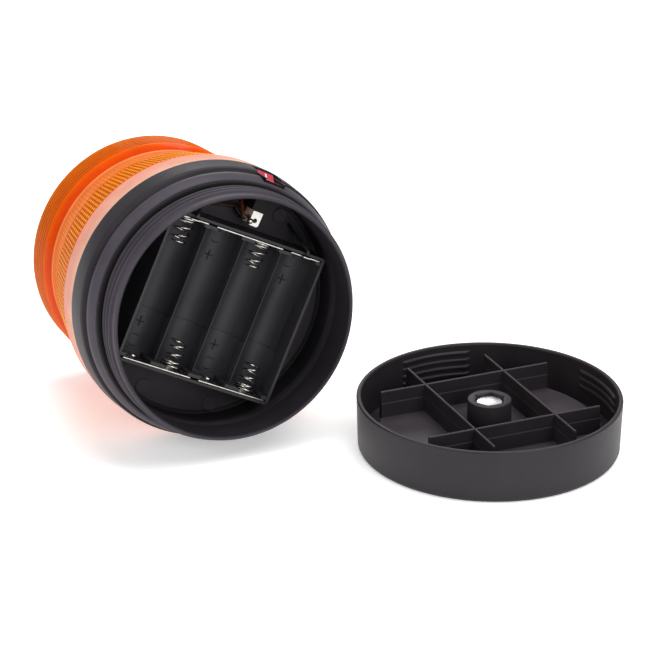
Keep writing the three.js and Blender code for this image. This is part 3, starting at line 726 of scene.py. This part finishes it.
# side walls and end walls
make("holder_side_walls", *join(boxmesh(-32.5, -31.3, -30, 30, LOW, TOP), boxmesh(31.3, 32.5, -30, 30, LOW, TOP)), TRAY, "beacon", MATS["tray_black"], bevel=0.18, slot="holder_black")
walls = []
for side in (1, -1):
    y0, y1 = (28.9, 30.0) if side > 0 else (-30.0, -28.9)
    walls.append(boxmesh(-32.45, 32.45, y0, y1, LOW, TOP))
    # foot under the contact strips
    walls.append(boxmesh(-32.4, 32.4, min(26.8 * side, 29 * side), max(26.8 * side, 29 * side), LOW, -26.2))
    # inner lips between the contact openings
    for i in range(5):
        cx = (i - 2) * PITCH
        x0, x1 = max(-32.4, cx - 2.8), min(32.4, cx + 2.8)
        walls.append(boxmesh(x0, x1, min(26.8 * side, 28.15 * side), max(26.8 * side, 28.15 * side), -26.4, TOP - 0.5))
make("holder_end_walls", *join(*walls), TRAY, "beacon", MATS["tray_black"], bevel=0.15, slot="holder_black")
# round ejector marks and raised polarity marks on the troughs' left flanks, painted near-black as shade in place of the
# shading of engraved lines
marks = []


def on_flank(cx, y, ang, rad):
    """Frame on the trough wall: x along the wall, y along the cell, z out of the wall."""
    n = Vector((-math.cos(ang), 0, -math.sin(ang)))
    p = Vector((cx, y, CELL_S)) - n * rad
    xax = Vector((0, 1, 0)).cross(n)
    return Matrix(((xax.x, 0, n.x, p.x), (xax.y, 1, n.y, p.y), (xax.z, 0, n.z, p.z), (0, 0, 0, 1)))


plus = [(-0.25, 2.0), (-0.25, 0.25), (-1.6, 0.25), (-1.6, -0.25), (-0.25, -0.25), (-0.25, -2.0), (0.25, -2.0), (0.25, -0.25), (1.6, -0.25), (1.6, 0.25), (0.25, 0.25), (0.25, 2.0)]
minus = [(-1.5, -0.25), (1.5, -0.25), (1.5, 0.25), (-1.5, 0.25)]
for i in range(4):
    cx = (i - 1.5) * PITCH
    sgn = -1 if i % 2 == 0 else 1         # end that has the plus contact
    for end, shape in ((sgn, plus), (-sgn, minus)):
        M = on_flank(cx, end * (15.9 if end == sgn else 18.6), R(277), 7.26)
        marks.append(moved(prism(shape, -0.2, 0.24), M))
        M = on_flank(cx, end * 25.2 * 0.93, R(279), 7.26)
        ring_o, ring_i = disc(2.5, 28), disc(2.15, 28)
        rv = [(x, y, 0.14) for x, y in ring_o] + [(x, y, 0.14) for x, y in ring_i] + [(x, y, -0.5) for x, y in ring_o] + [(x, y, -0.5) for x, y in ring_i]
        rf = []
        for k in range(28):
            k2 = (k + 1) % 28
            rf += [(k, k2, 28 + k2, 28 + k), (56 + k, k, k2, 56 + k2)[::-1], (28 + k, 84 + k, 84 + k2, 28 + k2)[::-1], (56 + k, 56 + k2, 84 + k2, 84 + k)[::-1]]
        marks.append(moved((rv, rf), M))
make("holder_marks", *join(*marks), TRAY, "beacon", MATS["painted_shade_mark"], slot="holder_black", crease=30)

# ----------------------------------------------------------- contact pieces
STRIPS = {"contact_terminal_1": (-24.0, 12.4, 1, []), "contact_strip_2_3": (0.0, 28.4, 1, [-8.0]), "contact_terminal_4": (24.0, 12.4, 1, [24.0]),
          "contact_strip_1_2": (-16.0, 28.4, -1, [-24.0]), "contact_strip_3_4": (16.0, 28.4, -1, [8.0])}
for name, (cx, w, side, buttons) in STRIPS.items():
    ys = sorted((side * 28.2, side * 28.62))
    bits = [boxmesh(cx - w / 2, cx + w / 2, ys[0], ys[1], -25.1, -13.85)]
    if name.startswith("contact_terminal"):
        bits.append(boxmesh(cx - 1.6, cx + 1.6, ys[0], ys[1], -14.2, -12.3))
    o = make(name + "_plate", *join(*bits), TRAY, "beacon", MATS["nickel"], bevel=0.08, stands_for=name, slot="contact_nickel")
    for bx in buttons:
        prof = [(0, 1.25), (0.9, 1.2), (1.5, 0.95), (1.75, 0.55), (1.95, 0.25), (2.7, 0.0), (2.7, -0.1)]
        v, f, u = lathe(prof, 40, closed=False)
        M = TRAY @ Matrix.Translation((bx, side * 28.2, CELL_S)) @ Matrix.Rotation(R(90 * side), 4, "X")
        make(name + "_button", v, f, M, "beacon", MATS["nickel"], uvs=u, slot="contact_nickel", crease=60)

# coil springs: wide base turns at the strip, narrow tip towards the cell
for i, (cx, side) in enumerate(((-24, 1), (-8, -1), (8, 1), (24, -1))):
    pts = []
    n = 340
    turns = 4.6
    for k in range(n + 1):
        t = k / n
        a = 2 * math.pi * turns * t
        # two close turns at the strip, three open ones, one close turn at the tip
        if t < 0.32:
            lead_t = 0.42 * t
        elif t < 0.86:
            lead_t = 0.1344 + (t - 0.32) * 1.50
        else:
            lead_t = 0.9444 + (t - 0.86) * 0.397
        r = 4.3 - 1.9 * t
        pts.append((cx + r * math.cos(a), side * (28.2 - 0.6 - 9.7 * lead_t), CELL_S + r * math.sin(a) * side))
    # foot of the coil, soldered to the strip
    pts = [(cx + 4.5, side * 28.0, CELL_S - 1.5 * side), (cx + 4.5, side * 27.8, CELL_S - 0.7 * side)] + pts
    v, f = tube(pts, 0.27, 12)
    o = make(f"contact_coil_{i + 1}", v, f, TRAY, "beacon", MATS["spring"], stands_for=f"contact_spring_{i + 1}", slot="contact_nickel", crease=60)
    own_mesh(o)

# ------------------------------------------------------------- rocker switch
bez = [boxmesh(50.75, 51.35, -5.0, -3.8, SW_S - 6.9, SW_S + 6.9), boxmesh(50.75, 51.35, 3.8, 5.0, SW_S - 6.9, SW_S + 6.9),
       boxmesh(50.75, 51.35, -3.81, 3.81, SW_S - 6.9, SW_S - 5.9), boxmesh(50.2, 50.6, -4.3, 4.3, SW_S + 5.9, SW_S + 6.9)]
make("switch_bezel", *join(*bez), SWITCH, "beacon", MATS["switch_black"], bevel=0.2, stands_for="switch_body", slot="switch_black")
case = [boxmesh(38.4, 46.8, -4.2, 4.2, SW_S - 6.4, SW_S + 6.4), boxmesh(46.7, 50.8, -4.2, -3.8, SW_S - 6.4, SW_S + 6.4), boxmesh(46.7, 50.8, 3.8, 4.2, SW_S - 6.4, SW_S + 6.4),
        boxmesh(46.7, 50.8, -3.81, 3.81, SW_S - 6.4, SW_S - 5.9), boxmesh(46.7, 50.3, -3.81, 3.81, SW_S + 5.9, SW_S + 6.4)]
make("switch_case", *join(*case), SWITCH, "beacon", MATS["switch_black"], bevel=0.15, slot="switch_black")


def wing_top(z):
    return 1.95 - 1.45 * max(0.0, math.cos(z / 5.4 * math.pi / 2)) ** 1.4


# rocker: two curved wings, pivot at x 49.4, front end pressed in
top = []
for k in range(25):
    z = -5.4 + 10.8 * k / 24
    top.append((wing_top(z), z))
outline = top + [(0.1, 5.4), (-0.6, 0.0), (0.1, -5.4)]
n = len(outline)
rv = [(x, y, z) for y in (-3.5, 3.5) for x, z in outline]
rf = [tuple(range(n)), tuple(reversed(range(n, 2 * n)))] + [(i, (i + 1) % n, n + (i + 1) % n, n + i) for i in range(n)]
tiltM = Matrix.Translation((49.4, 0, SW_S)) @ Matrix.Rotation(R(-8), 4, "Y")
make("rocker_cap", rv, rf, SWITCH @ tiltM, "rocker", MATS["rocker"], bevel=0.3, seg=3, stands_for="switch_rocker", slot="rocker_red", crease=50)


def wing_x(z):
    return wing_top(z)


# generic marks: a bar and a ring
mv, mf = [], []
for k in range(7):
    z = -4.3 + 2.4 * k / 6
    for y in (-0.3, 0.3):
        mv.append((wing_x(z) + 0.05, y, z))
        mv.append((wing_x(z) - 0.2, y, z))
for k in range(6):
    q = k * 4
    mf += [(q, q + 4, q + 6, q + 2), (q + 1, q, q + 4, q + 5)[::-1], (q + 2, q + 3, q + 7, q + 6)[::-1]]
make("rocker_mark_bar", mv, mf, SWITCH @ tiltM, "rocker", MATS["mark"], crease=60)
rv, rf = [], []
for k in range(32):
    a = 2 * math.pi * k / 32
    for rr in (1.25, 0.85):
        y, z = rr * math.cos(a), 3.2 + rr * math.sin(a)
        rv += [(wing_x(z) + 0.05, y, z), (wing_x(z) - 0.25, y, z)]
for k in range(32):
    q, w = k * 4, ((k + 1) % 32) * 4
    rf += [(q, q + 2, w + 2, w), (q, w, w + 1, q + 1), (q + 2, q + 3, w + 3, w + 2)]
make("rocker_mark_ring", rv, rf, SWITCH @ tiltM, "rocker", MATS["mark"], crease=60)
# blades, each with its hole
# the rear blade uses the tin plate painted dark as shade
for name, dz in (("switch_terminal_front", 3.5), ("switch_terminal_rear", -3.5)):
    o = make(name + "_blade", *prism([(32.4, -1.5), (33.0, -2.1), (38.1, -2.1), (38.1, 2.1), (33.0, 2.1), (32.4, 1.5)], SW_S + dz - 0.35, SW_S + dz + 0.35), SWITCH, "beacon", MATS["tinned" if dz > 0 else "rear_tin_painted_shade"], stands_for=name, slot="contact_nickel")
    c = cutter("tmp_" + name, moved(prism(disc(0.8, 28), SW_S + dz - 2, SW_S + dz + 2), Matrix.Translation((34.6, 0, 0))), SWITCH)
    carve(o, c)
    bake(o, c)
    b = o.modifiers.new("bevel", "BEVEL")
    b.width, b.segments, b.limit_method, b.angle_limit = 0.08 * MM, 2, "ANGLE", R(35)
# solder on the blades' ends where the leads join
for i, (x, y, z) in enumerate(((33.9, 2.5, SW_S + 3.3), (33.9, 2.5, SW_S - 3.7))):
    v, f, u = lathe([(0.0, 1.3), (0.7, 1.1), (1.15, 0.5), (1.2, 0.0), (0.9, -0.8), (0.0, -1.1)], 24, closed=False)
    make(f"solder_joint_{i + 1}", v, f, SWITCH @ Matrix.Translation((x, y - 0.9, z)), "beacon", MATS["tinned"], slot="contact_nickel", crease=60)

# --------------------------------------------------------------------- leads
SWI = BEACON.inverted() @ SWITCH
TRI = BEACON.inverted() @ TRAY


def P(x, y, z):
    return SWI @ Vector((x, y, z))


def T(x, y, z):
    return TRI @ Vector((x, y, z))


hx, hy = 41.2 * math.cos(a1), 41.2 * math.sin(a1)
kx, ky = 41.2 * math.cos(a2), 41.2 * math.sin(a2)
V = Vector
leads = {
    "switch_lead_red": ([P(34.2, 3.1, SW_S + 2.6), P(35.5, 4.8, SW_S + 2.0), V((hx, hy, -24.5)), V((hx, hy, -29)), V((hx, hy, -33)), V((hx * .9, hy * .9, -36.3)), V((hx * .78, hy * .78, -37.6))], "lead_red"),
    "switch_lead_brown": ([P(34.2, 3.1, SW_S - 4.4), P(35.6, 5.2, SW_S - 4.2), T(-4, 36.5, -27.2), T(-15, 35.0, -24.0), T(-21.5, 33.0, -18.0), T(-23.6, 30.9, -13.0), T(-24.0, 29.4, -12.7)], "lead_brown"),
    "battery_lead_black": ([T(24.0, 29.4, -12.7), T(23.6, 31.2, -13.4), T(22.4, 32.6, -18.0), T(21.0, 34.6, -25.0), V((kx, ky, -29.0)), V((kx, ky, -33)), V((kx * .9, ky * .9, -36.3)), V((kx * .8, ky * .8, -37.6))], "lead_black"),
}
for name, (pts, mat) in leads.items():
    v, f = tube(smooth_path(pts), 0.65, 14)
    make(name + "_wire", v, f, BEACON, "beacon", MATS[mat], stands_for=name, slot=mat, crease=60)

# ---------------------------------------------------------------- base cover
CV = COVER
RIB_TOP, DISC_Z = 19.0, 8.4
wall = [(31.8, 0.0, 0.2), (47.9, 0.0, 0.6), (48.9, 0.4, 0.6), (49.4, 1.4, 0.8), (50.0, 20.05, 0.3), (49.6, 20.5, 0.25), (48.5, 20.5, 0.22),
        (48.2, 19.9, 0.3), (48.2, 3.6, 0.5), (47.6, 3.0, 0.3), (41.7, 3.0, 0.3), (41.35, 3.5, 0.3), (41.3, 8.05, 0.35), (40.9, 8.4, 0.35), (3.3, 8.4), (3.3, 6.55), (31.8, 6.55, 0.2)]
turned("cover_shell", wall, CV, "cover", MATS["cover"], seg=288, stands_for="base_cover", slot="cover_grey")
ribs = []
for ang, off in ((23.0, 21.5), (23.0, -21.5), (113.0, 16.5), (113.0, -16.5)):
    half = math.sqrt(41.2 ** 2 - off ** 2)
    M = Matrix.Rotation(R(ang), 4, "Z")
    sec = [(off - 1.0, DISC_Z - 0.4), (off - 0.80, RIB_TOP - 5.0), (off - 0.64, RIB_TOP - 4.7), (off - 0.52, RIB_TOP - 0.25), (off - 0.35, RIB_TOP), (off + 0.35, RIB_TOP),
           (off + 0.52, RIB_TOP - 0.25), (off + 0.64, RIB_TOP - 4.7), (off + 0.80, RIB_TOP - 5.0), (off + 1.0, DISC_Z - 0.4)]
    n = len(sec)
    v = [(-half, y, z) for y, z in sec] + [(half, y, z) for y, z in sec]
    f = [tuple(range(n)), tuple(reversed(range(n, 2 * n)))] + [(i, (i + 1) % n, n + (i + 1) % n, n + i) for i in range(n)]
    ribs.append(moved((v, f), M))
make("cover_ribs", *join(*ribs), CV, "cover", MATS["cover"], bevel=0.12, slot="cover_grey", crease=20)
boss = [(8.55, DISC_Z - 0.3), (8.45, DISC_Z + 0.3, 0.3), (8.2, RIB_TOP - 0.4, 0.35), (7.85, RIB_TOP, 0.25)]
bv, bf = [], []
hexr = 10.4 / 2 / math.cos(math.pi / 6)
NB = 96


def hex_pt(a, apothem):
    k = (a - R(23.0)) % (math.pi / 3)
    return apothem / math.cos(k - math.pi / 6)


prof = [(lambda a: 8.6, DISC_Z - 0.3), (lambda a: 8.45, DISC_Z + 0.4), (lambda a: 8.22, RIB_TOP - 0.45), (lambda a: 8.12, RIB_TOP - 0.12), (lambda a: 7.9, RIB_TOP),
        (lambda a: hex_pt(a, 5.2) + 0.35, RIB_TOP), (lambda a: hex_pt(a, 5.2), RIB_TOP - 0.3), (lambda a: hex_pt(a, 5.2), RIB_TOP - 6.3), (lambda a: 3.3, RIB_TOP - 6.3), (lambda a: 3.3, DISC_Z - 0.3)]
for i in range(NB):
    a = 2 * math.pi * i / NB + R(23.0)
    for fr, z in prof:
        bv.append((fr(a) * math.cos(a), fr(a) * math.sin(a), z))
n = len(prof)
for i in range(NB):
    j = (i + 1) % NB
    for k in range(n):
        k2 = (k + 1) % n
        bf.append((i * n + k, j * n + k, j * n + k2, i * n + k2))
make("cover_boss", bv, bf, CV, "cover", MATS["cover"], slot="cover_grey", crease=40)
# interrupted internal thread: four groups of short ridges
gv = []
sec = [(0.25, -0.95), (-0.30, -0.80), (-0.80, -0.48), (-0.88, 0.0), (-0.80, 0.48), (-0.30, 0.80), (0.25, 0.95)]
for g in range(4):
    centre, half = 23.5 + 90 * g, 17.5
    for q in range(4):
        # ridges of one group follow the helix
        z_mid = 7.9 + 3.0 * (((centre / 360.0) - 0.0955) % 1.0) + 3.0 * q - 0.6
        if not 6.4 < z_mid < 19.0:
            continue
        v, f = [], []
        steps = 40
        for i in range(steps + 1):
            a = R(centre - half + 2 * half * i / steps)
            z = z_mid + 3.0 * (a - R(centre)) / (2 * math.pi)
            e = min(1.0, min(i, steps - i) / 2.0)
            for dr, dz in sec:
                r = 48.2 + (dr * e if dr < 0 else dr)
                v.append((r * math.cos(a), r * math.sin(a), z + dz))
        for i in range(steps):
            for j in range(7):
                j2 = (j + 1) % 7
                f.append((i * 7 + j, i * 7 + j2, (i + 1) * 7 + j2, (i + 1) * 7 + j))
        f += [tuple(reversed(range(7))), tuple(range(steps * 7, steps * 7 + 7))]
        gv.append((v, f))
make("cover_thread_ridges", *join(*gv), CV, "cover", MATS["cover"], slot="cover_grey", crease=50)
# bolt: hexagon head with its chamfered round top
bv, bf = [], []
prof = [(lambda a: 0.001, 18.05), (lambda a: 4.3, 18.05), (lambda a: 4.7, 17.9), (lambda a: min(hex_pt(a, 4.98), 5.1), 17.35), (lambda a: hex_pt(a, 4.98), 17.0), (lambda a: hex_pt(a, 4.98), 12.85), (lambda a: 0.001, 12.85)]
for i in range(NB):
    a = 2 * math.pi * i / NB + R(23.0)
    for fr, z in prof:
        bv.append((fr(a) * math.cos(a), fr(a) * math.sin(a), z))
n = len(prof)
for i in range(NB):
    j = (i + 1) % NB
    for k in range(n - 1):
        bf.append((i * n + k, j * n + k, j * n + k + 1, i * n + k + 1))
make("bolt_head", bv, bf, CV, "cover", MATS["bolt"], stands_for="magnet_bolt", slot="bolt_zinc", crease=30)
make("bolt_shank", *prism(disc(3.0, 40), 2.2, 13.0), CV, "cover", MATS["bolt"], slot="bolt_zinc")
# magnet under the cover
turned("magnet_cup_shell", [(0.001, 0.0), (7.5, 0.0, 0.2), (7.5, 4.1), (29.1, 4.1), (29.1, 0.0, 0.2), (31.45, 0.0, 0.4), (31.45, 6.3, 0.3), (3.05, 6.3), (3.05, 1.9), (0.001, 1.9)], CV, "magnet", MATS["cup"], seg=160, stands_for="magnet_cup", slot="cup_steel")
turned("magnet_ferrite", [(7.8, 0.25, 0.2), (28.8, 0.25, 0.2), (28.8, 3.85, 0.1), (7.8, 3.85, 0.1)], CV, "magnet", MATS["ferrite"], seg=128, stands_for="magnet_ring", slot="ferrite")

# ------------------------------------------------- CAD nodes shown as they are
PLAIN = {"lens_gasket": "rubber", "led_board": "board", "flasher_chip": "chip", "timing_capacitor": "cap_blue",
         **{f"board_screw_{i}": "screw" for i in (1, 2, 3)}, **{f"led_{i}": "led" for i in range(1, 7)}}
for n, mat in PLAIN.items():
    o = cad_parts[n]
    o.data.materials.clear()
    o.data.materials.append(MATS[mat])
    for p in o.data.polygons:
        p.use_smooth = False

# --------------------------------------------------------------------- stage
me = bpy.data.meshes.new("floor")
me.from_pydata([(-4, -4, 0), (4, -4, 0), (4, 6, 0), (-4, 6, 0)], [], [(0, 1, 2, 3)])
me.materials.append(MATS["floor"])
floor = bpy.data.objects.new("floor", me)
bpy.context.scene.collection.objects.link(floor)

bpy.context.scene.view_settings.view_transform = "Standard"

world = bpy.data.worlds.new("studio")
bpy.context.scene.world = world
world.use_nodes = True
world.node_tree.nodes["Background"].inputs["Color"].default_value = (1.0, 0.995, 0.99, 1)
world.node_tree.nodes["Background"].inputs["Strength"].default_value = 0.40


def area(name, loc, target, size, power, color=(1, 1, 1)):
    li = bpy.data.lights.new(name, "AREA")
    li.shape = "RECTANGLE"
    li.size, li.size_y = size
    li.energy = power
    li.color = color
    o = bpy.data.objects.new(name, li)
    o.location = loc
    o.rotation_euler = (Vector(target) - Vector(loc)).to_track_quat("-Z", "Y").to_euler()
    bpy.context.scene.collection.objects.link(o)
    return o


area("key", (0.55, -0.25, 1.0), (-0.05, 0.05, 0.03), (0.6, 0.6), 4.5)
area("top", (0.0, 0.22, 1.3), (-0.05, 0.18, 0.0), (1.0, 0.9), 12.5)
area("back", (-0.14, 0.95, 0.50), (-0.05, 0.0, 0.02), (0.5, 0.3), 1.2)
area("fill", (-0.75, -0.45, 0.45), (-0.10, 0.0, 0.05), (0.5, 0.5), 2.2)
area("front", (0.42, -0.95, 0.45), (-0.08, 0.0, 0.04), (0.6, 0.4), 3.6)

cam = bpy.data.cameras.new("camera")
cam.sensor_width = 36.0
cam.lens = 153.7
cam.clip_end = 20
co = bpy.data.objects.new("camera", cam)
aim = Vector((-0.06175, 0.1144, 0.0))
el, dist = R(23.2), 1.1538
co.location = aim + Vector((0, -math.cos(el) * dist, math.sin(el) * dist))
co.rotation_euler = (aim - co.location).to_track_quat("-Z", "Y").to_euler()
bpy.context.scene.collection.objects.link(co)
bpy.context.scene.camera = co

bpy.context.view_layer.update()
